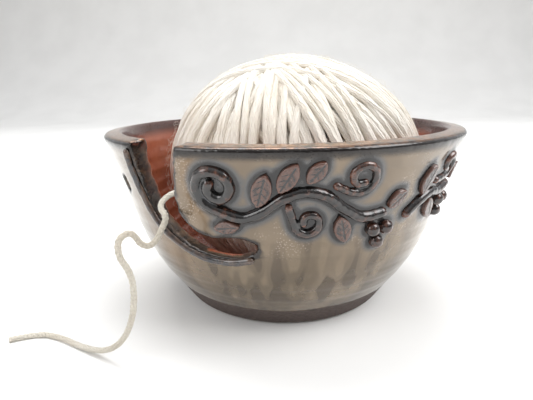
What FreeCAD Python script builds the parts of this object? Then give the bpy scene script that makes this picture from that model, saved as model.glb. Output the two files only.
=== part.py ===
import FreeCAD, Part
import math
import os

# Yarn bowl: a thrown stoneware bowl with a curled yarn slot, a needle hole and an applied vine of
# rolled clay, holding a wound ball of yarn whose working strand leaves through the slot.
# Millimetres and degrees. The origin is the middle of the flat foot, +Z is up, and the decorated
# front faces -Y. An azimuth of 0 is the front, and positive azimuths turn towards +X.

# thrown bowl
rim_radius = 82.3
bowl_height = 80.4
rim_outer_drop = 2.2            # how far below the top the outer wall ends
rim_inner_drop = 1.8            # how far below the top the inner wall begins
rim_thickness = 8.0
rim_outer_round = (2.2, 0.6)    # how far in from the outer edge, and how far down, its rounding ends
rim_outer_bulge = (0.45, 1.1)   # the same for the middle of that rounding
rim_inner_round = 1.6           # how far from the inner edge the flat top ends
rim_inner_bulge = (0.35, 0.55)  # the middle of the inner rounding, from the inner edge and the top
foot_radius = 50.0
foot_bevel = 1.5
foot_height = 10.2              # bare clay band under the glaze line
foot_top_radius = 55.7
belly_fullness = 0.68           # how far the wall has opened from foot to rim at its two poles
shoulder_fullness = 0.63
inner_shoulder = 1.7            # height of the inner wall's upper pole, in thirds of the outer wall
wall_thickness = 5.5
knee_inset = 4.5                # extra clay where the wall turns into the floor
floor_thickness = 7.0
floor_flat_radius = 26.0

# yarn slot: (azimuth, depth below the rim) down the left edge, round the tip and up the right edge
slot_edge_left = [(-40.4, -10.0), (-41.2, 0.0), (-43.3, 8.0), (-43.6, 15.0), (-42.4, 23.0), (-40.2, 30.0),
                  (-36.4, 34.6), (-30.0, 39.6), (-23.0, 42.2), (-15.5, 42.5), (-10.0, 40.8)]
slot_tip = (-7.2, 37.5)
slot_edge_right = [(-10.2, 34.6), (-15.5, 34.1), (-21.3, 34.4), (-26.6, 32.0), (-29.6, 27.8),
                   (-30.4, 21.5), (-29.3, 14.0), (-27.0, 6.0), (-25.4, 0.0), (-24.6, -10.0)]
slot_cut_azimuth = -26.0        # the direction that the slot cutter is built along
slot_cut_reach = (0.55, 1.35)   # where the cutter starts and ends, in rim radii
lip_coil_radius = 1.5           # rolled lip that guards the left and lower edge of the slot
lip_coil_rise = 0.3
lip_coil_top_depth = 4.4
lip_edge_margin = 0.15          # bare wall between the slot's edge and the lip
lip_top_lead = 1.0              # degrees that the lip's top end stands off sideways

# needle hole
needle_hole_radius = 3.5
needle_hole_azimuth = -57.0
needle_hole_depth = 19.6

# applied ornament
ornament_depth = 20.0           # below the rim, where distances across the wall are measured
coil_radius = 1.95
coil_rise = 0.6                 # height of a coil's middle above the wall
tendril_radius = 1.45
tendril_rise = 0.45
turn_gap = 0.6                  # between neighbouring turns of a curl
joint_gap = 0.6                 # between two pieces of the ornament
leaf_thickness = 2.0
berry_radius = 2.7
berry_rise = 0.7
berry_stem_gap = 1.6
berry_lean = -84                # direction from the stem's end to the middle of the cluster's top row
berry_row_drop = 0.88           # from the top row to the lowest berry, in berry spacings

# ball of yarn
ball_height = 105.4
ball_shift = 5.0                # the ball leans on the +X side of the bowl
ball_wall_gap = 3.6
ball_floor_gap = 0.3

# working strand
strand_diameter = 2.2
bend_share = 0.45               # of a straight run that the bend at each of its ends may use
strand_points = [
    (-27.8, -54.0, 60.0), (-33.0, -55.6, 60.5), (-38.5, -56.2, 60.3), (-43.0, -56.0, 59.0),
    (-45.6, -57.8, 56.6), (-45.0, -61.2, 54.8), (-42.6, -63.8, 54.2), (-41.8, -66.6, 52.0),
    (-43.2, -68.8, 49.2), (-44.4, -70.4, 46.2), (-46.6, -72.6, 44.6), (-49.0, -74.6, 46.4),
    (-49.8, -75.6, 49.4), (-51.0, -77.2, 51.4), (-53.0, -79.4, 51.2), (-54.2, -80.8, 48.8),
    (-54.0, -81.2, 44.4), (-50.8, -80.4, 38.0), (-50.6, -80.2, 30.0), (-52.6, -79.6, 20.0),
    (-58.0, -77.4, 9.8), (-67.0, -73.4, 3.0), (-78.5, -68.0, 1.1), (-90.0, -61.5, 1.1),
    (-101.5, -58.5, 1.1), (-110.5, -63.5, 1.1)]

up = FreeCAD.Vector(0, 0, 1)


def outward(azimuth):
    """Unit vector away from the bowl's axis at an azimuth."""
    turn = math.radians(azimuth)
    return FreeCAD.Vector(math.sin(turn), -math.cos(turn), 0)


def bezier(poles, t):
    """Point on a cubic whose four poles are (radius, height)."""
    weights = ((1 - t) ** 3, 3 * t * (1 - t) ** 2, 3 * t ** 2 * (1 - t), t ** 3)
    return tuple(sum(w * pole[axis] for w, pole in zip(weights, poles)) for axis in (0, 1))


def radius_at(poles, height):
    """Radius of a rising or falling cubic wall at a height, found by halving."""
    rising = poles[3][1] > poles[0][1]
    low, high = 0.0, 1.0
    for _ in range(50):
        middle = (low + high) / 2
        if (bezier(poles, middle)[1] < height) == rising:
            low = middle
        else:
            high = middle
    return bezier(poles, low)[0]


# the two walls of the thrown bowl, as cubics in (radius, height)
opening_out = rim_radius - foot_top_radius
rim_outer_height = bowl_height - rim_outer_drop
wall_rise = (rim_outer_height - foot_height) / 3
outer_wall = [
    (foot_top_radius, foot_height),
    (foot_top_radius + belly_fullness * opening_out, foot_height + wall_rise),
    (foot_top_radius + shoulder_fullness * opening_out, foot_height + 2 * wall_rise),
    (rim_radius, rim_outer_height)]
inner_wall = [
    (rim_radius - rim_thickness, bowl_height - rim_inner_drop),
    (outer_wall[2][0] - wall_thickness, foot_height + inner_shoulder * wall_rise),
    (outer_wall[1][0] - wall_thickness - knee_inset, floor_thickness),
    (floor_flat_radius, floor_thickness)]


def outer_radius(height):
    return radius_at(outer_wall, height)


def wall_normal(azimuth, height):
    """Outward normal of the outer wall."""
    step = 0.5
    slope = (outer_radius(height + step) - outer_radius(height - step)) / (2 * step)
    normal = outward(azimuth) - up * slope
    return normal.normalize()


def on_wall(azimuth, height, rise):
    """A point that stands rise above the outer wall."""
    foot = outward(azimuth) * outer_radius(height) + up * height
    return foot + wall_normal(azimuth, height) * rise


def section_point(point, rise=0.0):
    """A (radius, height) pair as a point of the profile that is turned about Z."""
    return FreeCAD.Vector(point[0] + rise, 0, point[1])


def cubic_edge(poles, rise=0.0):
    curve = Part.BezierCurve()
    curve.setPoles([section_point(pole, rise) for pole in poles])
    return curve.toShape()


def line(start, end):
    return Part.LineSegment(start, end).toShape()


def turned(edges):
    """Solid of revolution about Z from the edges of a closed profile."""
    face = Part.Face(Part.Wire(Part.__sortEdges__(edges)))
    return face.revolve(FreeCAD.Vector(0, 0, 0), up, 360)


def thrown_form():
    """The bowl as it leaves the wheel, before anything is cut into it."""
    rim_out = section_point(outer_wall[3])
    rim_in = section_point(inner_wall[0])
    inner_rim = rim_radius - rim_thickness
    crown_out = FreeCAD.Vector(rim_radius - rim_outer_round[0], 0, bowl_height - rim_outer_round[1])
    crown_in = FreeCAD.Vector(inner_rim + rim_inner_round, 0, bowl_height)
    outer_bulge = FreeCAD.Vector(rim_radius - rim_outer_bulge[0], 0, bowl_height - rim_outer_bulge[1])
    inner_bulge = FreeCAD.Vector(inner_rim + rim_inner_bulge[0], 0, bowl_height - rim_inner_bulge[1])
    floor_edge = section_point(inner_wall[3])
    floor_middle = FreeCAD.Vector(0, 0, floor_thickness)
    bottom_middle = FreeCAD.Vector(0, 0, 0)
    bottom_edge = FreeCAD.Vector(foot_radius - foot_bevel, 0, 0)
    foot_edge = FreeCAD.Vector(foot_radius, 0, foot_bevel)
    glaze_line = section_point(outer_wall[0])
    return turned([
        line(bottom_middle, bottom_edge), line(bottom_edge, foot_edge), line(foot_edge, glaze_line),
        cubic_edge(outer_wall), Part.Arc(rim_out, outer_bulge, crown_out).toShape(),
        line(crown_out, crown_in), Part.Arc(crown_in, inner_bulge, rim_in).toShape(),
        cubic_edge(inner_wall), line(floor_edge, floor_middle), line(floor_middle, bottom_middle)])


def wall_core(rise):
    """Solid inside the outer wall, or inside a skin that stands rise above it."""
    low = FreeCAD.Vector(0, 0, foot_height)
    high = FreeCAD.Vector(0, 0, rim_outer_height)
    return turned([line(low, section_point(outer_wall[0], rise)), cubic_edge(outer_wall, rise),
                   line(section_point(outer_wall[3], rise), high), line(high, low)])


def slot_cutter():
    """Radial cutter for the slot, drawn on two planes so that its sides run straight to the axis."""
    along = outward(slot_cut_azimuth)
    aside = outward(slot_cut_azimuth + 90)
    edge = slot_edge_left + [slot_tip] + slot_edge_right
    spacing = [0.0]
    for start, end in zip(edge, edge[1:]):
        width = math.radians(end[0] - start[0]) * rim_radius
        spacing.append(spacing[-1] + math.hypot(width, end[1] - start[1]))
    wires = []
    for share in slot_cut_reach:
        distance = share * rim_radius
        points = []
        for azimuth, depth in edge:
            sideways = distance * math.tan(math.radians(azimuth - slot_cut_azimuth))
            points.append(along * distance + aside * sideways + up * (bowl_height - depth))
        curve = Part.BSplineCurve()
        curve.interpolate(Points=points, Parameters=spacing)
        wires.append(Part.Wire([curve.toShape(), line(points[-1], points[0])]))
    return Part.makeLoft(wires, True, True)


def needle_hole_cutter():
    height = bowl_height - needle_hole_depth
    normal = wall_normal(needle_hole_azimuth, height)
    reach = 3 * wall_thickness
    start = on_wall(needle_hole_azimuth, height, -reach)
    return Part.makeCylinder(needle_hole_radius, 2 * reach, start, normal)


def rounded_path(points, name=None):
    """Straight runs joined by tangent arcs, each arc as large as its two runs allow."""
    edges = []
    last = points[0]
    radii = []
    for before, corner, after in zip(points, points[1:], points[2:]):
        into = corner - before
        out = after - corner
        turn = into.getAngle(out)
        trim = bend_share * min(into.Length, out.Length)
        radii.append(trim / math.tan(turn / 2))
        start = corner - into.normalize() * trim
        end = corner + out.normalize() * trim
        inward = (end - corner) + (start - corner)
        radius = radii[-1]
        centre = corner + inward.normalize() * (radius / math.cos(turn / 2))
        middle = centre + (corner - centre).normalize() * radius
        edges.append(line(last, start))
        edges.append(Part.Arc(start, middle, end).toShape())
        last = end
    edges.append(line(last, points[-1]))
    if name:
        print(name, "arc radii", [round(radius, 1) for radius in radii])
    return Part.Wire(edges)


def rod(points, radius, side, name=None):
    """Round rod along a rounded path, with the seam of its surface on the given side."""
    path = rounded_path(points, name)
    ring = Part.Circle(points[0], points[1] - points[0], radius)
    ring.XAxis = side
    solid = Part.Solid(path.makePipeShell([Part.Wire(ring.toShape())], True, False))
    if name:
        print(name, "length", round(path.Length, 1), "volume over section",
              round(solid.Volume / (math.pi * radius ** 2), 1))
    return solid


def round_end(point, direction, radius, side):
    """Half ball that closes a rod, with its seam on the same side as the rod's."""
    along = FreeCAD.Vector(direction).normalize()
    aside = (side - along * side.dot(along)).normalize()
    tip = point + along * radius
    edge = point + aside * radius
    bend = point + (along + aside).normalize() * radius
    quarter = Part.Wire([line(point, tip), Part.Arc(tip, bend, edge).toShape(), line(edge, point)])
    return Part.Face(quarter).revolve(point, along, 360)


def wall_azimuth(across):
    """Azimuth of a place that lies across millimetres from the front, along the wall."""
    return math.degrees(across / outer_radius(bowl_height - ornament_depth))


def shifted(place, angle, distance):
    """The (across, depth) place at a distance and an angle from another; 90 degrees is up the wall."""
    turn = math.radians(angle)
    return (place[0] + distance * math.cos(turn), place[1] - distance * math.sin(turn))


def coil(route, radius, rise):
    """Rolled clay coil with round ends, pressed flat against the wall along (across, depth) places."""
    places = [(wall_azimuth(across), bowl_height - depth) for across, depth in route]
    points = [on_wall(azimuth, height, rise) for azimuth, height in places]
    first_side = wall_normal(*places[0])
    last_side = wall_normal(*places[-1])
    ends = [round_end(points[0], points[0] - points[1], radius, first_side),
            round_end(points[-1], points[-1] - points[-2], radius, last_side)]
    return rod(points, radius, first_side).fuse(ends).cut(wall_core(0))


def curl(middle, eye, radius, start_angle, turns, steps):
    """Places of a curl about its middle, winding in to an eye of so many coil radii."""
    pitch = 2 * radius + turn_gap
    return [shifted(middle, start_angle + 360 * turns * step / steps,
                    eye * radius + pitch * abs(turns) * (1 - step / steps)) for step in range(steps + 1)]


def leaf(stalk, lean, length, width):
    """Pointed leaf pad: two arcs, cut square to the wall and as thick as the slab it is cut from."""
    across, depth = shifted(stalk, lean, length / 2)
    azimuth = wall_azimuth(across)
    height = bowl_height - depth
    normal = wall_normal(azimuth, height)
    middle = on_wall(azimuth, height, -leaf_thickness)
    sideways = outward(azimuth + 90)
    upward = normal.cross(sideways)
    tilt = math.radians(lean)
    along = sideways * math.cos(tilt) + upward * math.sin(tilt)
    aside = normal.cross(along)
    tip = middle + along * (length / 2)
    foot = middle - along * (length / 2)
    sides = [Part.Arc(foot, middle + aside * (width / 2), tip).toShape(),
             Part.Arc(tip, middle - aside * (width / 2), foot).toShape()]
    prism = Part.Face(Part.Wire(sides)).extrude(normal * (4 * leaf_thickness))
    return prism.common(wall_core(leaf_thickness)).cut(wall_core(0))


def berry(place):
    """Ball pressed on to the wall, turned about a line along the wall so that its seam faces outward."""
    azimuth = wall_azimuth(place[0])
    height = bowl_height - place[1]
    middle = on_wall(azimuth, height, berry_rise)
    along = outward(azimuth + 90)
    left = middle - along * berry_radius
    right = middle + along * berry_radius
    crown = middle + wall_normal(azimuth, height) * berry_radius
    half_disc = Part.Face(Part.Wire([Part.Arc(left, crown, right).toShape(), line(right, left)]))
    return half_disc.revolve(middle, along, 360).cut(wall_core(0))


def berry_cluster(place):
    """Middles of three berries pressed on in a triangle under a stem."""
    top = shifted(place, berry_lean, coil_radius + berry_radius + berry_stem_gap)
    spacing = 2 * berry_radius + joint_gap
    return [shifted(top, 180, spacing / 2), shifted(top, 0, spacing / 2),
            shifted(top, -90, berry_row_drop * spacing)]


def slot_lip():
    """Rolled lip outside the left and lower edge of the slot, from the rim to below the tip."""
    stand_off = lip_coil_radius + lip_edge_margin
    scale = math.radians(1) * outer_radius(bowl_height - ornament_depth)
    top = (slot_edge_left[1][0] - lip_top_lead, lip_coil_top_depth)
    lower = [point for point in slot_edge_left if point[1] > lip_coil_top_depth]
    edge = [(azimuth * scale, depth) for azimuth, depth in [top] + lower + [slot_tip]]
    route = [(edge[0][0] - stand_off, edge[0][1])]
    for before, here, after in zip(edge, edge[1:], edge[2:]):
        heading = math.degrees(math.atan2(before[1] - after[1], after[0] - before[0]))
        route.append(shifted(here, heading - 90, stand_off))
    return coil(route, lip_coil_radius, lip_coil_rise)


def yarn_ball():
    """Outer shape of the wound ball, slightly flattened, resting on the floor of the bowl."""
    half_height = ball_height / 2
    middle_height = floor_thickness + ball_floor_gap + half_height
    radius = radius_at(inner_wall, middle_height) - ball_shift - ball_wall_gap
    flattened = FreeCAD.Matrix()
    flattened.scale(radius, radius, half_height)
    ball = Part.makeSphere(1).transformGeometry(flattened)
    ball.translate(FreeCAD.Vector(ball_shift, 0, middle_height))
    return ball


# the vine: (across, depth) places in millimetres, across being measured along the wall from the front
fiddlehead = curl((-21.7, 14.2), 1.295, coil_radius, -90, -1.35, 11)
vine_stem_route = fiddlehead[::-1] + [(-13.9, 25.4), (-7.3, 22.8), (-0.7, 17.6), (6.6, 14.6), (14.3, 16.6),
                                      (20.7, 22.2), (27.6, 26.2), (35.5, 25.0)]
sprig_stem_route = [(48.4, 27.5), (54.3, 23.2), (61.0, 20.8), (67.6, 22.2), (74.2, 20.2)]
vine_left, vine_rise, vine_shoulder, vine_crest, vine_slope, vine_fall = vine_stem_route[-8:-2]
vine_end = vine_stem_route[-1]
sprig_rise, sprig_crest = sprig_stem_route[1:3]
sprig_end = sprig_stem_route[-1]

# tendril: where it leaves the stem, at which angle, and the curl that it ends in
tendrils = {
    "tendril_lower": (vine_shoulder, -51, ((8.7, 26.4), 1.33, tendril_radius, 170, 1.05, 9)),
    "tendril_upper": (vine_slope, 51, ((25.0, 10.9), 1.5, tendril_radius, -115, 1.15, 9)),
    "sprig_tendril": (sprig_crest, 75, ((69.2, 11.4), 1.31, tendril_radius, -110, 1.0, 9))}

# leaf: where on the stem and on which side its stalk sits, and then its lean, length and width
leaves = {
    "leaf_lower_left": (vine_left, -110, -172, 10.0, 4.8),
    "leaf_upper_left": (vine_rise, 115, 74, 12.5, 6.8),
    "leaf_top": (vine_shoulder, 112, 58, 12.0, 6.2),
    "leaf_over_stem": (vine_crest, 80, 52, 9.5, 5.4),
    "leaf_under_stem": (vine_fall, -125, -74, 11.0, 6.2),
    "leaf_tip": (vine_end, 40, 42, 9.0, 5.4),
    "sprig_leaf_upper": (sprig_rise, 115, 72, 12.0, 6.6),
    "sprig_leaf_lower": (sprig_crest, -100, -62, 11.0, 6.2),
    "sprig_leaf_tip": (sprig_end, 42, 44, 9.0, 5.4)}
berries = {"berry": berry_cluster(vine_end), "sprig_berry": berry_cluster(sprig_end)}

nodes = {"thrown_bowl": thrown_form().cut(slot_cutter()).cut(needle_hole_cutter())}
nodes["slot_lip_coil"] = slot_lip()
nodes["vine_stem"] = coil(vine_stem_route, coil_radius, coil_rise)
nodes["sprig_stem"] = coil(sprig_stem_route, coil_radius, coil_rise)
for name, (stem, angle, winding) in tendrils.items():
    start = shifted(stem, angle, coil_radius + tendril_radius + joint_gap)
    nodes[name] = coil([start] + curl(*winding), tendril_radius, tendril_rise)
for name, (stem, side, lean, length, width) in leaves.items():
    nodes[name] = leaf(shifted(stem, side, coil_radius + joint_gap), lean, length, width)
for name, places in berries.items():
    for number, place in enumerate(places, 1):
        nodes[name + "_" + str(number)] = berry(place)
nodes["yarn_ball"] = yarn_ball()
nodes["working_strand"] = rod([FreeCAD.Vector(*point) for point in strand_points],
                              strand_diameter / 2, up, "working_strand")

os.makedirs("parts", exist_ok=True)
for name, shape in nodes.items():
    solids = shape.Solids
    whole = solids[0] if len(solids) == 1 else Part.Compound(solids)
    print(name, len(solids), "solid", whole.isValid(), round(whole.Volume, 1))
    whole.exportStep("parts/" + name + ".step")
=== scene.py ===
import math
import random

import bmesh
import bpy
import numpy as np
from mathutils import Matrix, Vector
from mathutils.kdtree import KDTree


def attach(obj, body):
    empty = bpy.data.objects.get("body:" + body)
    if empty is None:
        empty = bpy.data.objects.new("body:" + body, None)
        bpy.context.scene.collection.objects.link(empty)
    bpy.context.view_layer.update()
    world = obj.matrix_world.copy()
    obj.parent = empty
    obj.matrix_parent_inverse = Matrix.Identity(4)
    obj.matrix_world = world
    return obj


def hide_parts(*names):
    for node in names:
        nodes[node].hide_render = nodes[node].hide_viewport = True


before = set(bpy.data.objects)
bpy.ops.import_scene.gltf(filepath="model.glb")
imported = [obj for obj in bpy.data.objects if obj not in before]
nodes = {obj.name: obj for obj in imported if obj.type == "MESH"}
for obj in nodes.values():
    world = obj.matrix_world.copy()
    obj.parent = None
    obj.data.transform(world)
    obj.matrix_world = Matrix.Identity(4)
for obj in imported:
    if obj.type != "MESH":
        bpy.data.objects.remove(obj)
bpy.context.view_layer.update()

# ---------------------------------------------------------------- studio
# A pale table that curves up into a pale wall, lit by three soft boxes and a bright room, with
# the camera a little above the rim and close in front of the bowl.
camera_place = Vector((0.0, -0.205, 0.09685))
camera_pitch = math.radians(15.07)
camera_yaw = math.radians(-2.36)
camera_roll = math.radians(-1.03)
camera_lens = 27.8

camera = bpy.data.objects.new("camera", bpy.data.cameras.new("camera"))
camera.data.lens = camera_lens
camera.data.sensor_width = 36.0
camera.data.clip_start = 0.005
facing = Vector((math.sin(camera_yaw) * math.cos(camera_pitch),
                 math.cos(camera_yaw) * math.cos(camera_pitch), -math.sin(camera_pitch)))
camera.rotation_mode = "QUATERNION"
turn_to_subject = facing.to_track_quat("-Z", "Y").to_matrix() @ Matrix.Rotation(camera_roll, 3, "Z")
camera.rotation_quaternion = turn_to_subject.to_quaternion()
camera.location = camera_place
bpy.context.scene.collection.objects.link(camera)
bpy.context.scene.camera = camera


class Shade:
    """One socket of a material in the making. Arithmetic on it adds Math nodes to the same tree."""

    def __init__(self, tree, socket=None):
        self.tree = tree
        self.socket = socket

    def node(self, kind, settings, values, out=0):
        """Adds a node: its settings come first, then the values or links of its sockets."""
        made = self.tree.nodes.new("ShaderNode" + kind)
        for name, value in settings.items():
            if name == "stops":
                while len(made.color_ramp.elements) < len(value):
                    made.color_ramp.elements.new(0.5)
                for element, (place, colour) in zip(made.color_ramp.elements, value):
                    element.position = place
                    element.color = (*colour, 1.0)
            else:
                setattr(made, name, value)
        for name, value in values.items():
            if isinstance(value, Shade):
                self.tree.links.new(value.socket, made.inputs[name])
            else:
                made.inputs[name].default_value = value
        return Shade(self.tree, made.outputs[out])

    def maths(self, operation, *values):
        return self.node("Math", {"operation": operation}, dict(enumerate(values)))

    def __add__(self, other):
        return self.maths("ADD", self, other)

    def __radd__(self, other):
        return self.maths("ADD", other, self)

    def __sub__(self, other):
        return self.maths("SUBTRACT", self, other)

    def __rsub__(self, other):
        return self.maths("SUBTRACT", other, self)

    def __mul__(self, other):
        return self.maths("MULTIPLY", self, other)

    def __rmul__(self, other):
        return self.maths("MULTIPLY", other, self)

    def power(self, exponent):
        return self.maths("POWER", self, exponent)

    def sine(self):
        return self.maths("SINE", self)

    def at_most(self, limit):
        return self.maths("MINIMUM", self, limit)

    def between(self, low, high):
        """0 below low and 1 above high, with a soft step from one to the other."""
        return self.node("MapRange", {"interpolation_type": "SMOOTHSTEP"},
                         {"Value": self, "From Min": low, "From Max": high})

    def blend(self, first, second):
        """Colour that goes from first to second as this value goes from 0 to 1."""
        first, second = [colour if isinstance(colour, Shade) else (*colour, 1.0)
                         for colour in (first, second)]
        return self.node("Mix", {"data_type": "RGBA"}, {0: self, 6: first, 7: second}, out=2)

    def stretched(self, across, deep, high):
        """This place in space, with its three directions scaled."""
        return self.node("VectorMath", {"operation": "MULTIPLY"}, {0: self, 1: (across, deep, high)})

    def noise(self, scale, detail=3.0, roughness=0.5):
        return self.node("TexNoise", {}, {"Vector": self, "Scale": scale, "Detail": detail,
                                          "Roughness": roughness})

    def cells(self, scale):
        return self.node("TexVoronoi", {}, {"Vector": self, "Scale": scale})

    def attribute(self, name):
        return self.node("Attribute", {"attribute_name": name}, {}, out="Fac")


def new_material(name):
    """A material, a starting Shade for its tree, its place in space in metres, and its shader node."""
    made = bpy.data.materials.new(name)
    made.use_nodes = True
    start = Shade(made.node_tree)
    place = start.node("TexCoord", {}, {}, out="Object")
    return made, start, place, made.node_tree.nodes["Principled BSDF"]


def finish_surface(shader, constants, **varying):
    """Sets the shader's constants, and links what changes over the surface."""
    for name, value in constants.items():
        shader.inputs[name].default_value = value
    for name, value in varying.items():
        value.tree.links.new(value.socket, shader.inputs[name.replace("_", " ")])


def bumps(height, distance):
    """Normal that makes a surface look raised by height, over a distance in metres."""
    return height.node("Bump", {}, {"Height": height, "Distance": distance, "Strength": 1.0})


def mesh_object(name, vertices, faces):
    data = bpy.data.meshes.new(name)
    data.from_pydata([tuple(v) for v in vertices], [], [tuple(f) for f in faces])
    data.polygons.foreach_set("use_smooth", [True] * len(data.polygons))
    made = bpy.data.objects.new(name, data)
    bpy.context.scene.collection.objects.link(made)
    return made


table_half = 1.6
wall_bend = 0.5
wall_top = 1.8
profile = [(-table_half, 0.0), (table_half - wall_bend, 0.0)]
profile += [(table_half - wall_bend + wall_bend * math.sin(a), wall_bend - wall_bend * math.cos(a))
            for a in np.linspace(0.1, math.pi / 2, 16)]
profile += [(table_half, wall_top)]
rows = [[(side, y, z) for y, z in profile] for side in (-table_half, table_half)]
count = len(profile)
backdrop = mesh_object("backdrop", rows[0] + rows[1],
                       [(i, i + count, i + count + 1, i + 1) for i in range(count - 1)])
paper, _, place, shader = new_material("pale_paper")
tone = place.noise(9.0, 4.0).between(0.3, 0.7).blend((0.86, 0.855, 0.84), (0.90, 0.895, 0.88))
finish_surface(shader, {"Roughness": 0.75, "Specular IOR Level": 0.25}, Base_Color=tone)
backdrop.data.materials.append(paper)

# The room is bright overhead and behind the bowl, and dim where the camera stands.
world = bpy.data.worlds.new("bright_room")
world.use_nodes = True
start = Shade(world.node_tree)
toward = start.node("TexCoord", {}, {}, out="Generated")
depth = start.node("SeparateXYZ", {}, {"Vector": toward}, out=1)
above = start.node("SeparateXYZ", {}, {"Vector": toward}, out=2)
lit = (depth * 0.6 + above).between(-0.35, 0.9)
room = lit.blend((0.33, 0.32, 0.31), (0.95, 0.97, 1.0))
world.node_tree.links.new(room.socket, world.node_tree.nodes["Background"].inputs["Color"])
world.node_tree.nodes["Background"].inputs["Strength"].default_value = 0.9
bpy.context.scene.world = world
bpy.context.scene.view_settings.view_transform = "Standard"


def soft_box(name, place, aim, width, height, power):
    light = bpy.data.lights.new(name, "AREA")
    light.shape = "RECTANGLE"
    light.size = width
    light.size_y = height
    light.energy = power
    box = bpy.data.objects.new(name, light)
    box.location = place
    box.rotation_mode = "QUATERNION"
    box.rotation_quaternion = (Vector(aim) - Vector(place)).to_track_quat("-Z", "Y")
    bpy.context.scene.collection.objects.link(box)


soft_box("window_light", (0.80, -0.25, 0.85), (0.0, 0.0, 0.05), 0.7, 0.7, 9.5)
soft_box("overhead_light", (-0.10, 0.30, 1.05), (0.0, 0.0, 0.05), 0.8, 0.6, 9.8)
soft_box("fill_light", (-0.9, -0.5, 0.5), (0.0, 0.0, 0.05), 0.5, 0.7, 4.0)

# ---------------------------------------------------------------- working strand
# The working end of the yarn: four plies of wool twisted together, limp, with kinks left in it by
# handling. It comes off the ball, passes through the slot and lies on the table.
strand_points = [
    (-27.8, -54.0, 60.0), (-33.0, -55.6, 60.5), (-38.5, -56.2, 60.3), (-43.0, -56.0, 59.0),
    (-45.6, -57.8, 56.6), (-45.0, -61.2, 54.8), (-42.6, -63.8, 54.2), (-41.8, -66.6, 52.0),
    (-43.2, -68.8, 49.2), (-44.4, -70.4, 46.2), (-46.6, -72.6, 44.6), (-49.0, -74.6, 46.4),
    (-49.8, -75.6, 49.4), (-51.0, -77.2, 51.4), (-53.0, -79.4, 51.2), (-54.2, -80.8, 48.8),
    (-54.0, -81.2, 44.4), (-50.8, -80.4, 38.0), (-50.6, -80.2, 30.0), (-52.6, -79.6, 20.0),
    (-58.0, -77.4, 9.8), (-67.0, -73.4, 3.0), (-78.5, -68.0, 1.1), (-90.0, -61.5, 1.1),
    (-101.5, -58.5, 1.1), (-110.5, -63.5, 1.1)]
ply_count = 4
ply_radius = 0.00062
ply_reach = 0.00052             # from the strand's middle to a ply's middle
ply_lay = 0.0075                # length of one turn of the plies
ply_swell = 0.07                # how much a ply's thickness comes and goes
ply_sides = 8
route_step = 0.0003


def route_line(points):
    """The smooth line that a strand follows: a NURBS spline through the air by its chosen points."""
    curve = bpy.data.curves.new("route", "CURVE")
    curve.dimensions = "3D"
    curve.resolution_u = 12
    spline = curve.splines.new("NURBS")
    spline.points.add(len(points) - 1)
    for point, place in zip(spline.points, points):
        point.co = (*[mm / 1000 for mm in place], 1.0)
    spline.order_u = 3
    spline.use_endpoint_u = True
    holder = bpy.data.objects.new("route", curve)
    bpy.context.scene.collection.objects.link(holder)
    bpy.context.view_layer.update()
    shown = holder.evaluated_get(bpy.context.evaluated_depsgraph_get())
    line = bpy.data.meshes.new_from_object(shown)
    places = np.array([vertex.co[:] for vertex in line.vertices])
    bpy.data.objects.remove(holder)
    return places


def evenly(places, step):
    """A line's points again, at an even spacing."""
    lengths = np.concatenate([[0.0], np.cumsum(np.linalg.norm(np.diff(places, axis=0), axis=1))])
    wanted = np.linspace(0.0, lengths[-1], max(2, int(round(lengths[-1] / step)) + 1))
    return np.stack([np.interp(wanted, lengths, places[:, axis]) for axis in range(3)], axis=1), wanted


def carried_frames(places):
    """Two directions across a line at each of its points, carried along without twisting."""
    along = np.gradient(places, axis=0)
    along /= np.linalg.norm(along, axis=1)[:, None]
    first = np.cross(along[0], (0.0, 0.0, 1.0))
    if np.linalg.norm(first) < 1e-3:
        first = np.cross(along[0], (1.0, 0.0, 0.0))
    sides = [first / np.linalg.norm(first)]
    for direction in along[1:]:
        side = sides[-1] - direction * np.dot(sides[-1], direction)
        sides.append(side / np.linalg.norm(side))
    sides = np.array(sides)
    return sides, np.cross(along, sides)


def tube(places, radii, sides, closed=False):
    """Vertices, faces and (length, round) coordinates of a tube along a line."""
    count = len(places)
    across, over = carried_frames(places)
    angles = np.arange(sides) * 2 * math.pi / sides
    ring = across[:, None, :] * np.cos(angles)[None, :, None]
    ring = ring + over[:, None, :] * np.sin(angles)[None, :, None]
    vertices = (places[:, None, :] + ring * np.asarray(radii).reshape(-1, 1, 1)).reshape(-1, 3)
    lengths = np.concatenate([[0.0], np.cumsum(np.linalg.norm(np.diff(places, axis=0), axis=1))])
    last = count if closed else count - 1
    faces = []
    coordinates = []
    for i in range(last):
        j = (i + 1) % count
        end = lengths[j] if j else lengths[-1] + np.linalg.norm(places[0] - places[-1])
        for k in range(sides):
            m = (k + 1) % sides
            faces.append((i * sides + k, i * sides + m, j * sides + m, j * sides + k))
            coordinates += [(lengths[i], k / sides), (lengths[i], (k + 1) / sides),
                            (end, (k + 1) / sides), (end, k / sides)]
    if not closed:
        faces.append(tuple(range(sides))[::-1])
        faces.append(tuple((count - 1) * sides + k for k in range(sides)))
        coordinates += [(0.0, 0.0)] * sides + [(lengths[-1], 0.0)] * sides
    return vertices, faces, coordinates


def joined_tubes(name, tubes):
    """One mesh object from several tubes, with their (length, round) coordinates as a UV map."""
    vertices = []
    faces = []
    coordinates = []
    for more_vertices, more_faces, more_coordinates in tubes:
        offset = len(vertices)
        vertices.extend(more_vertices)
        faces.extend(tuple(index + offset for index in face) for face in more_faces)
        coordinates.extend(more_coordinates)
    made = mesh_object(name, vertices, faces)
    layer = made.data.uv_layers.new(name="along_yarn")
    layer.data.foreach_set("uv", np.array(coordinates, dtype=float).ravel())
    return made


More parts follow.
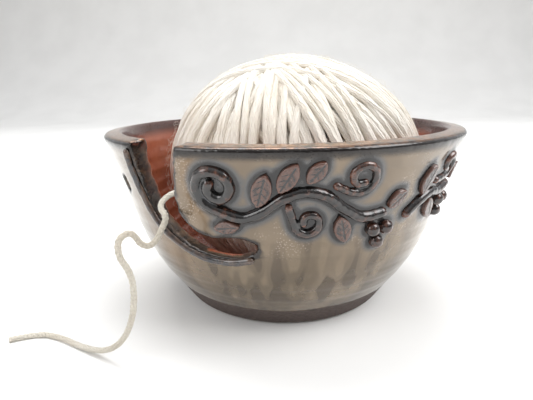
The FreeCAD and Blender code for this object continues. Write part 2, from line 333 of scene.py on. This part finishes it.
def yarn_material(name, pale, deep, ply_turn, plies, twist_relief):
    """Cream wool: plies as slanting ridges round the strand, painted shade in the grooves between them, fine
    fibres, and a soft sheen.
    """
    wool, start, place, shader = new_material(name)
    on_yarn = start.node("UVMap", {"uv_map": "along_yarn"}, {})
    length = start.node("SeparateXYZ", {}, {"Vector": on_yarn})
    turn = start.node("SeparateXYZ", {}, {"Vector": on_yarn}, out=1)
    wander = place.noise(260.0, 2.0)
    slant = (length * (1.0 / ply_turn) + turn + wander * 0.22) * (2 * math.pi * plies)
    ridge = slant.sine() * 0.5 + 0.5
    groove_painted_shade = (1.0 - ridge).power(3.0)
    fibres = place.noise(2600.0, 5.0, 0.7)
    patches = place.noise(45.0, 3.0)
    colour = patches.between(0.3, 0.75).blend(pale, deep)
    # Painted shade: the grooves between the plies are darkened towards a deeper tone.
    colour = (groove_painted_shade * (0.08 + twist_relief * 0.5)).blend(colour, tuple(c * 0.70 for c in deep))
    colour = (fibres.between(0.45, 0.8) * 0.35).blend(colour, (0.93, 0.89, 0.81))
    drawn = (turn * 56.5 + wander * 12.0).sine() * 0.3
    normal = bumps(ridge * twist_relief + drawn * (1.0 - twist_relief) + fibres * 0.45, 0.0005)
    finish_surface(shader, {"Roughness": 0.92, "Specular IOR Level": 0.2, "Sheen Weight": 0.35,
                            "Sheen Roughness": 0.5, "Subsurface Weight": 0.0},
                   Base_Color=colour, Normal=normal)
    return wool


strand_route, strand_lengths = evenly(route_line(strand_points), route_step)
strand_sides, strand_over = carried_frames(strand_route)
plies = []
for number in range(ply_count):
    angle = 2 * math.pi * (strand_lengths / ply_lay + number / ply_count)
    aside = strand_sides * np.cos(angle)[:, None] + strand_over * np.sin(angle)[:, None]
    ply = strand_route + ply_reach * aside
    swell = ply_radius * (1.0 + ply_swell * np.sin(strand_lengths * 1900.0 + number * 2.1))
    plies.append(tube(ply, swell, ply_sides))
strand = joined_tubes("strand", plies)
strand_wool = yarn_material("strand_wool", (0.80, 0.75, 0.65), (0.70, 0.63, 0.52), 0.0016, 1, 0.45)
strand.data.materials.append(strand_wool)
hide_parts("working_strand")
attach(strand, "strand")

# ---------------------------------------------------------------- ball of yarn
# A hand-wound ball of thick-and-thin cream wool, a little squat from its own weight. It is wound in
# bands of side-by-side turns, most of them standing up and down, so they fan out near the top.
ball_middle = np.array((0.005, 0.0, 0.060))
ball_radii = np.array((0.0612, 0.0612, 0.0524))
winding_radius = 0.00178
turn_spacing = 0.061            # between neighbouring turns, in ball radii
layer_step = 0.00026
band_count = 26
deep_bands = 12                 # the first bands, which the others mostly hide
fan_bands = 14                  # the last bands, which stand up and fan out from the parting
turns_per_band = 7
turn_steps = 120
turn_lean = 0.022               # how unevenly a turn leans, and how unevenly it is spaced
turn_scatter = 0.006
winding_lift = 0.00028          # how far a turn rises over the ones it crosses
# The yarn underneath is painted dark as shade.
core_depth = 0.0062             # from the outside of the ball to the dark yarn underneath
parting = np.array((-0.16, -0.24, 0.957))
dice = random.Random(11)

fan_one = np.cross(parting, (0.0, 1.0, 0.0))
fan_one /= np.linalg.norm(fan_one)
fan_other = np.cross(parting, fan_one)
windings = []
for band in range(band_count):
    fanned = band >= band_count - fan_bands
    heading = (band * 3 % fan_bands + dice.uniform(-0.25, 0.25)) * math.pi / fan_bands
    tip = dice.gauss(0.0, 0.05) if fanned else dice.uniform(-0.9, 0.9)
    middle_offset = dice.gauss(0.0, 0.03) if fanned else dice.uniform(-0.35, 0.35)
    sink = (band_count - 1 - band) * layer_step
    level = fan_one * math.cos(heading) + fan_other * math.sin(heading)
    axis = level * math.cos(tip) + parting * math.sin(tip)
    for turn in range(turns_per_band):
        # Each turn leans a little away from its neighbour, as a hand-guided strand does.
        lean = axis + np.array([dice.gauss(0.0, turn_lean) for _ in range(3)])
        lean /= np.linalg.norm(lean)
        first = np.cross(lean, (0.0, 0.0, 1.0))
        first /= np.linalg.norm(first)
        second = np.cross(lean, first)
        offset = middle_offset + (turn - (turns_per_band - 1) / 2) * turn_spacing
        offset += dice.gauss(0.0, turn_scatter)
        around = np.linspace(0.0, 2 * math.pi, turn_steps, endpoint=False) + dice.uniform(0.0, 0.2)
        wobble = 0.010 * np.sin(3 * around + dice.uniform(0, 6))
        wobble += 0.006 * np.sin(7 * around + dice.uniform(0, 6))
        reach = np.sqrt(1.0 - (offset + wobble) ** 2)
        path = ((offset + wobble)[:, None] * lean + reach[:, None] * (
            first * np.cos(around)[:, None] + second * np.sin(around)[:, None]))
        lift = -sink - winding_radius + winding_lift * np.sin(5 * around + dice.uniform(0, 6))
        places = ball_middle + path * (ball_radii + lift[:, None])
        thickness = winding_radius * (0.93 + 0.13 * np.sin(around * 4 + dice.uniform(0, 6))
                                      + 0.07 * np.sin(around * 11 + dice.uniform(0, 6)))
        windings.append((band, tube(places, thickness, 6 if band < deep_bands else 7, closed=True)))

ball_wool = yarn_material("ball_wool", (0.93, 0.89, 0.815), (0.80, 0.72, 0.61), 0.021, 3, 0.16)
deep_windings = joined_tubes("deep_windings", [made for band, made in windings if band < deep_bands])
outer_windings = joined_tubes("outer_windings", [made for band, made in windings if band >= deep_bands])

# Under the windings is more yarn, seen only between them; it is the same cream wool, coloured dark as painted
# shade.
ball_core_mesh = bmesh.new()
bmesh.ops.create_icosphere(ball_core_mesh, subdivisions=5, radius=1.0)
for vertex in ball_core_mesh.verts:
    ripple = 0.0005 * math.sin(vertex.co.x * 60.0) * math.sin(vertex.co.y * 60.0)
    shrink = ball_radii - core_depth + ripple
    vertex.co = Vector(ball_middle + np.array(vertex.co) * shrink)
core_data = bpy.data.meshes.new("ball_core")
ball_core_mesh.to_mesh(core_data)
ball_core_mesh.free()
core_data.polygons.foreach_set("use_smooth", [True] * len(core_data.polygons))
ball_core = bpy.data.objects.new("ball_core", core_data)
bpy.context.scene.collection.objects.link(ball_core)
core_wool_painted_shade, _, place, shader = new_material("core_wool_painted_shade")
shadowed = place.stretched(1.0, 1.0, 0.25).noise(900.0, 3.0)
finish_surface(shader, {"Roughness": 0.95, "Specular IOR Level": 0.1},
               Base_Color=shadowed.between(0.3, 0.7).blend((0.36, 0.29, 0.22), (0.52, 0.44, 0.34)),
               Normal=bumps(shadowed, 0.0008))

# Loose hairs of wool stand out of the windings.
hair_count = 2600
hair_radius = 0.000035
hair_root_depth = 0.0018        # under the outside of the ball
hair_shortest = 0.0022
hair_longest = 0.0060
hairs = []
for number in range(hair_count):
    direction = np.array([dice.gauss(0.0, 1.0) for _ in range(3)])
    direction /= np.linalg.norm(direction)
    root = ball_middle + direction * (ball_radii - hair_root_depth)
    side = np.cross(direction, [dice.gauss(0.0, 1.0) for _ in range(3)])
    side /= np.linalg.norm(side)
    reach = dice.uniform(hair_shortest, hair_longest)
    stand = dice.uniform(0.15, 0.75)
    steps = np.linspace(0.0, 1.0, 5)[:, None]
    bend = side * reach * steps + direction * (0.0014 + stand * 0.0026 * np.sin(steps * 2.6))
    hairs.append(tube(root + bend, hair_radius * (1.15 - steps[:, 0] * 0.7), 3))
ball_hairs = joined_tubes("ball_hairs", hairs)
hair_wool, _, place, shader = new_material("hair_wool")
finish_surface(shader, {"Roughness": 0.8, "Specular IOR Level": 0.2, "Sheen Weight": 0.3},
               Base_Color=place.noise(80.0).blend((0.88, 0.83, 0.74), (0.78, 0.70, 0.58)))
for piece, wool in ((deep_windings, ball_wool), (outer_windings, ball_wool), (ball_core, core_wool_painted_shade),
                    (ball_hairs, hair_wool)):
    piece.data.materials.append(wool)
    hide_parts("yarn_ball")
    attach(piece, "ball")

# ---------------------------------------------------------------- thrown bowl
# Stoneware thrown on a wheel and trimmed at the foot, its wall cut through while leather-hard for the
# slot. The glaze is a glossy bronze outside, thin and dark over arrises, and runs iron red inside; just
# under the rim it is painted near black, as a dark reflection outside and as shade inside.
foot_glaze_line = 0.0102
rim_height = 0.0782
bowl_grain = 0.00078            # spacing of the fine mesh
bowl_faces = 186000
relax_pull = 0.6
throwing_ring = 0.00022
ridge_spacing = 0.0072
fine_ridge_spacing = 0.0031
trimming_spacing = 0.0016
foot_ring_spacing = 0.0031
glaze_fillet = 0.00045
fillet_width = 0.0011
trimming_depth = 0.00010
foot_ring_depth = 0.00014
hand_sway = 0.00016             # how far the wall wavers from round
slot_from = math.radians(-136)
slot_to = math.radians(-95)
bronze_deep = (0.158, 0.118, 0.078)
bronze_pale = (0.228, 0.176, 0.124)
broad_run_brown = (0.122, 0.092, 0.058)
run_brown = (0.086, 0.064, 0.044)
run_tan = (0.285, 0.220, 0.150)
fired_gold = (0.215, 0.118, 0.040)
crystal_pale = (0.50, 0.42, 0.36)
pooled_blue = (0.075, 0.086, 0.098)
pooled_black = (0.012, 0.011, 0.012)
arris_black = (0.016, 0.012, 0.010)
painted_reflection_black = (0.012, 0.009, 0.008)
rim_tan_glaze = (0.42, 0.20, 0.085)
iron_bright = (0.37, 0.105, 0.048)
iron_deep = (0.25, 0.062, 0.032)
iron_dark = (0.13, 0.035, 0.022)
iron_painted_shade_under_rim = (0.035, 0.016, 0.014)
cut_black = (0.035, 0.030, 0.028)
cut_brown = (0.105, 0.066, 0.042)
clay_dark = (0.060, 0.043, 0.038)
clay_pale = (0.098, 0.072, 0.062)
clay_chamfer_painted_light = (0.17, 0.13, 0.11)


def apply_modifiers(piece):
    """Gives a piece the mesh that its modifiers make of it, and takes the modifiers away."""
    bpy.context.view_layer.update()
    shown = piece.evaluated_get(bpy.context.evaluated_depsgraph_get())
    data = bpy.data.meshes.new_from_object(shown)
    piece.modifiers.clear()
    piece.data = data
    data.name = piece.name


def fine_copy(name, node, grain, most_faces):
    """A closed mesh of even grain in the shape of a CAD node, its arrises a little rounded."""
    source = nodes[node]
    work = bpy.data.objects.new(name, source.data.copy())
    bpy.context.scene.collection.objects.link(work)
    work.data.materials.clear()
    merge = bmesh.new()
    merge.from_mesh(work.data)
    bmesh.ops.remove_doubles(merge, verts=merge.verts, dist=1e-6)
    merge.to_mesh(work.data)
    merge.free()
    remesh = work.modifiers.new("grain", "REMESH")
    remesh.mode = "VOXEL"
    remesh.voxel_size = grain
    apply_modifiers(work)
    triangles = len(work.data.polygons) * 2
    if triangles > most_faces:
        lighter = work.modifiers.new("lighter", "DECIMATE")
        lighter.ratio = most_faces / triangles
        apply_modifiers(work)
    work.data.polygons.foreach_set("use_smooth", [True] * len(work.data.polygons))
    return work


def places_of(piece):
    places = np.empty(len(piece.data.vertices) * 3)
    piece.data.vertices.foreach_get("co", places)
    return places.reshape(-1, 3)


def normals_of(piece):
    normals = np.empty(len(piece.data.vertices) * 3)
    piece.data.vertices.foreach_get("normal", normals)
    return normals.reshape(-1, 3)


def set_places(piece, places):
    piece.data.vertices.foreach_set("co", np.ascontiguousarray(places).ravel())
    piece.data.update()


def relaxed(piece, places, rounds):
    """The places of the vertices after each has moved, several times, towards its neighbours' middle."""
    edges = np.empty(len(piece.data.edges) * 2, dtype=np.int32)
    piece.data.edges.foreach_get("vertices", edges)
    one, other = edges.reshape(-1, 2).T
    count = len(places)
    near = np.maximum(np.bincount(one, minlength=count) + np.bincount(other, minlength=count), 1)
    for _ in range(rounds):
        total = [np.bincount(one, places[other, axis], count) + np.bincount(other, places[one, axis], count)
                 for axis in range(3)]
        middle = np.stack(total, axis=1) / near[:, None]
        places = places + relax_pull * (middle - places)
    return places


def write_attribute(piece, name, values):
    layer = piece.data.attributes.new(name, "FLOAT", "POINT")
    layer.data.foreach_set("value", np.ascontiguousarray(values, dtype=np.float32))


def softened(piece, area, rounds):
    """A yes or no for each vertex, made into a value from 0 to 1 that fades over its border."""
    return relaxed(piece, np.repeat(area[:, None] * 1.0, 3, axis=1), rounds)[:, 0]


def write_standing_out(piece, rounds, depth):
    """Stores how far each vertex stands out of its surroundings: 0 in a hollow, 1 on an arris."""
    places = places_of(piece)
    out = ((places - relaxed(piece, places, rounds)) * normals_of(piece)).sum(axis=1)
    write_attribute(piece, "standing_out", np.clip(0.5 + out / depth, 0.0, 1.0))


applied_nodes = sorted(name for name in nodes
                       if name not in ("thrown_bowl", "yarn_ball", "working_strand"))
cover = np.concatenate([places_of(nodes[name]) for name in applied_nodes if name != "slot_lip_coil"])
applied_tree = KDTree(len(cover))
for index, vertex in enumerate(cover):
    applied_tree.insert(vertex, index)
applied_tree.balance()

bowl = fine_copy("bowl", "thrown_bowl", bowl_grain, bowl_faces)
places = relaxed(bowl, places_of(bowl), 3)
set_places(bowl, places)
normals = normals_of(bowl)
reach = np.hypot(places[:, 0], places[:, 1])
height = places[:, 2]
outward = np.stack([places[:, 0], places[:, 1]], axis=1) / np.maximum(reach, 1e-6)[:, None]
facing_out = (normals[:, :2] * outward).sum(axis=1)
turned_angle = np.arctan2(places[:, 1], places[:, 0])
outside = np.clip(facing_out * 3.0, 0.0, 1.0)
inside = np.clip(-facing_out * 3.0, 0.0, 1.0)

# Finger ridges climb the wall in a slow spiral, softer outside where a rib has smoothed them.
spiral = height + turned_angle * 0.0011
ridges = np.sin(spiral * 2 * math.pi / ridge_spacing)
ridges += 0.45 * np.sin(spiral * 2 * math.pi / fine_ridge_spacing + 1.3)
wall = np.clip((height - foot_glaze_line) / 0.004, 0.0, 1.0)
wall *= np.clip((rim_height - height) / 0.004, 0.0, 1.0)
push = throwing_ring * ridges * wall * (outside * 0.28 + inside * 0.55)
push += hand_sway * np.sin(turned_angle * 3 + height * 60) * wall
# Trimming marks ring the foot and its underside.
below = np.clip((foot_glaze_line - height) / 0.001, 0.0, 1.0)
push -= trimming_depth * (0.5 + 0.5 * np.sin(height * 2 * math.pi / trimming_spacing)) * below * outside
underneath = (normals[:, 2] < -0.7) & (height < 0.001)
push -= foot_ring_depth * (0.5 + 0.5 * np.sin(reach * 2 * math.pi / foot_ring_spacing)) * underneath
# Glaze and slip have filled the corner where each coil meets the wall.
to_applied = np.full(len(places), 0.05)
for index in np.nonzero((facing_out > 0.3) & (height > 0.02))[0]:
    to_applied[index] = applied_tree.find(places[index])[2]
push += glaze_fillet * np.exp(-(to_applied / fillet_width) ** 2) * outside
set_places(bowl, places + normals * push[:, None])
write_standing_out(bowl, 14, 0.0009)
write_attribute(bowl, "to_applied", to_applied)
at_slot = (turned_angle > slot_from) & (turned_angle < slot_to) & (reach > 0.045)
cut_face = (np.abs(facing_out) < 0.62) & at_slot & (normals[:, 2] < 0.97)
cut_face &= (height > 0.030) & (height < 0.0765)
write_attribute(bowl, "cut_face", softened(bowl, cut_face, 2))
# The glaze has fired golden brown beside the slot and low on the left.
golden = np.exp(-((turned_angle - math.radians(-112.0)) / 0.060) ** 2 - ((height - 0.066) / 0.013) ** 2)
golden += 0.7 * np.exp(-((turned_angle - math.radians(-128.0)) / 0.16) ** 2 - ((height - 0.036) / 0.012) ** 2)
write_attribute(bowl, "golden", np.clip(golden, 0.0, 1.0) * outside)
hollow = (facing_out < 0.0) | ((height > 0.0065) & (reach < 0.05))
write_attribute(bowl, "inside", hollow * (height > 0.005) * (reach < 0.0845))
# The clay is left bare at the foot, up to a slightly wavy line.
wander = np.sin(turned_angle * 5 + 0.7) * 0.00035 + np.sin(turned_angle * 13) * 0.00018
outer_side = (facing_out > -0.3) & (reach > 0.047)
bare_foot = ((height < foot_glaze_line + wander) & outer_side) | (height < 0.0045)
write_attribute(bowl, "bare_foot", softened(bowl, bare_foot, 1))

bronze, start, place, shader = new_material("bronze_glaze")
standing = start.attribute("standing_out")
gap = start.attribute("to_applied") * 1000.0
within = start.attribute("inside")
bare = start.attribute("bare_foot")
high = start.node("SeparateXYZ", {}, {"Vector": place}, out=2) * 1000.0
cloud = place.noise(38.0, 5.0, 0.6)
mottle = place.noise(420.0, 4.0, 0.65)
runs = place.stretched(1.0, 1.0, 0.03).noise(170.0, 1.0, 0.4)
broad_runs = place.stretched(1.0, 1.0, 0.04).noise(55.0, 0.0)
crystals = place.cells(1150.0)
colour = cloud.between(0.3, 0.7).blend(bronze_deep, bronze_pale)
low_wall = 1.0 - high.between(28.0, 62.0)
colour = (broad_runs.between(0.42, 0.62) * low_wall * 0.65).blend(colour, broad_run_brown)
colour = (runs.between(0.52, 0.60) * low_wall * 0.75).blend(colour, run_brown)
colour = ((1.0 - runs.between(0.34, 0.46)) * low_wall * 0.6).blend(colour, run_tan)
colour = (start.attribute("golden") * (cloud * 0.6 + 0.4)).blend(colour, fired_gold)
crystal_field = place.noise(75.0, 2.0).between(0.46, 0.62) * high.between(34.0, 52.0)
speckle = (1.0 - crystals.between(0.16, 0.40)) * crystal_field
colour = (speckle * 0.85).blend(colour, crystal_pale)
# Glaze pools blue-grey and then near black against the coils.
colour = ((1.0 - gap.between(1.4, 3.8)) * 0.8).blend(colour, pooled_blue)
colour = ((1.0 - gap.between(0.7, 1.9)) * 0.92).blend(colour, pooled_black)
# It is thin and dark over arrises, with a tan line where it has drawn back altogether.
colour = (standing.between(0.62, 0.86) * high.between(14.0, 20.0)).blend(colour, arris_black)
# Painted dark reflection: a near-black band round the outside just under the rim.
rim_dark_reflection = high.between(74.6, 77.2) * (0.6 + mottle * 0.6)
colour = rim_dark_reflection.at_most(1.0).blend(colour, painted_reflection_black)
rim_tan = high.between(79.0, 80.1) * mottle.between(0.35, 0.6)
colour = (rim_tan * 0.75).blend(colour, rim_tan_glaze)
iron = cloud.between(0.3, 0.72).blend(iron_bright, iron_deep)
iron = (mottle.between(0.55, 0.75) * 0.4).blend(iron, iron_dark)
# Painted shade: the inside just under the rim is darkened to near black.
iron = (high.between(71.0, 77.5) * 0.9).blend(iron, iron_painted_shade_under_rim)
colour = within.blend(colour, iron)
cut = start.attribute("cut_face")
cut_tone = (mottle + cloud - 0.5).between(0.35, 0.7).blend(cut_black, cut_brown)
colour = cut.blend(colour, cut_tone)
clay = place.stretched(1.0, 1.0, 2.2).noise(700.0, 4.0)
clay_tone = clay.between(0.3, 0.7).blend(clay_dark, clay_pale)
# Painted light: the chamfer at the bottom edge of the foot is made paler.
clay_tone = ((1.0 - high.between(0.6, 2.2)) * 0.6).blend(clay_tone, clay_chamfer_painted_light)
colour = bare.between(0.4, 0.6).blend(colour, clay_tone)
shine = mottle * 0.10 + 0.13 + within * 0.05
rough = bare.between(0.4, 0.6) * (0.78 - shine) + shine
metal = (1.0 - bare) * (1.0 - within) * (cloud.between(0.3, 0.7) * 0.25 + 0.35)
pits = (1.0 - place.cells(1500.0).between(0.05, 0.3)) * high.between(74.0, 77.0)
relief = mottle * 0.25 + runs * 0.5 + speckle * 0.35 + pits * 0.8
normal = bumps(relief * (1.0 - bare) + clay * bare * 1.6, 0.00022)
coat = (1.0 - bare) * 0.45
finish_surface(shader, {"Specular IOR Level": 0.55, "Coat Roughness": 0.07, "Coat IOR": 1.55},
               Base_Color=colour, Roughness=rough, Metallic=metal, Normal=normal, Coat_Weight=coat)
bowl.data.materials.append(bronze)
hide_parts("thrown_bowl")
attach(bowl, "bowl")

# ---------------------------------------------------------------- applied clay
# Coils, leaves and berries rolled and cut from soft clay, scored and slipped on to the wall before
# the bowl dried. The same glaze runs off their tops, where it fires red brown, and pools at their feet.
coil_grain = 0.00036
leaf_grain = 0.00030
applied_faces = 90000
vein_depth = 0.00030
vein_spacing = 0.0024
midrib_width = 0.00034
side_vein_width = 0.00026
leaf_crown = 0.00022
coil_lumps = 0.00016
berry_lumps = 0.00010


def broken_glaze(name, black, brown, most_brown, thin_from):
    """Black glossy glaze, run thin and brown on whatever stands out by more than thin_from."""
    glaze, start, place, shader = new_material(name)
    standing = start.attribute("standing_out")
    mottle = place.noise(520.0, 4.0, 0.65)
    drift = place.noise(95.0, 3.0)
    worn = standing + (mottle - 0.5) * 0.5 + (drift - 0.5) * 0.35
    thin = worn.between(thin_from, thin_from + 0.3) * most_brown
    colour = thin.blend(black, brown)
    colour = ((1.0 - place.cells(900.0).between(0.08, 0.25)) * 0.35).blend(colour, (0.16, 0.13, 0.12))
    colour = ((1.0 - standing.between(0.22, 0.42)) * 0.5).blend(colour, (0.030, 0.036, 0.044))
    relief = mottle * 0.7 + drift * 0.6
    finish_surface(shader, {"Specular IOR Level": 0.6, "Coat Roughness": 0.06, "Coat Weight": 0.7},
                   Base_Color=colour, Roughness=mottle * 0.12 + 0.12, Metallic=(1.0 - thin) * 0.25,
                   Normal=bumps(relief, 0.00025))
    return glaze


coil_glaze = broken_glaze("coil_glaze", (0.010, 0.009, 0.009), (0.165, 0.062, 0.036), 0.9, 0.66)
leaf_glaze = broken_glaze("leaf_glaze", (0.010, 0.009, 0.009), (0.125, 0.052, 0.034), 0.8, 0.40)
lip_glaze = broken_glaze("lip_glaze", (0.022, 0.026, 0.032), (0.12, 0.066, 0.038), 0.7, 0.60)


def hand_rolled(piece, depth):
    """Slow lumps and a few finger dents, as in clay rolled by hand."""
    places = places_of(piece)
    mm = places * 1000.0
    lumps = (np.sin(mm[:, 0] * 0.55 + mm[:, 2] * 0.31) + np.sin(mm[:, 2] * 0.83 - mm[:, 1] * 0.47)
             + 0.6 * np.sin(mm[:, 0] * 1.7 + mm[:, 1] * 1.3 - mm[:, 2] * 1.1))
    return places + normals_of(piece) * (depth * lumps / 2.6)[:, None]


def leaf_veins(piece):
    """A pressed midrib and side veins on the leaf's outer face, and edges pinched thinner."""
    places = places_of(piece)
    middle = places.mean(axis=0)
    out, across, along = np.linalg.eigh(np.cov((places - middle).T))[1].T
    radial = np.array((middle[0], middle[1], 0.0))
    if np.dot(out, radial) < 0:
        out = -out
    local = (places - middle) @ np.stack([along, across, out], axis=1)
    face = np.clip((normals_of(piece) @ out - 0.4) / 0.4, 0.0, 1.0)
    aside = np.abs(local[:, 1])
    to_edge = np.clip(1.0 - aside / aside.max(), 0.0, 1.0)
    midrib = np.exp(-(aside / midrib_width) ** 2)
    phase = (local[:, 0] - aside * 0.9) / vein_spacing
    side_veins = np.exp(-((phase - np.round(phase)) * vein_spacing / side_vein_width) ** 2)
    side_veins *= to_edge ** 0.5 * (1.0 - midrib)
    dent = vein_depth * (midrib + 0.6 * side_veins) - leaf_crown * to_edge ** 2
    return places - out * (dent * face)[:, None]


for node in applied_nodes:
    is_leaf = "leaf" in node
    is_lip = node == "slot_lip_coil"
    shape = fine_copy("glazed_" + node, node, leaf_grain if is_leaf else coil_grain, applied_faces)
    set_places(shape, relaxed(shape, places_of(shape), 5 if is_leaf else 3))
    if is_leaf:
        set_places(shape, leaf_veins(shape))
    else:
        set_places(shape, hand_rolled(shape, berry_lumps if "berry" in node else coil_lumps))
    write_standing_out(shape, 24, 0.0007 if is_leaf else 0.0009)
    glaze = lip_glaze if is_lip else leaf_glaze if is_leaf else coil_glaze
    shape.data.materials.append(glaze)
    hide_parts(node)
    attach(shape, "bowl")
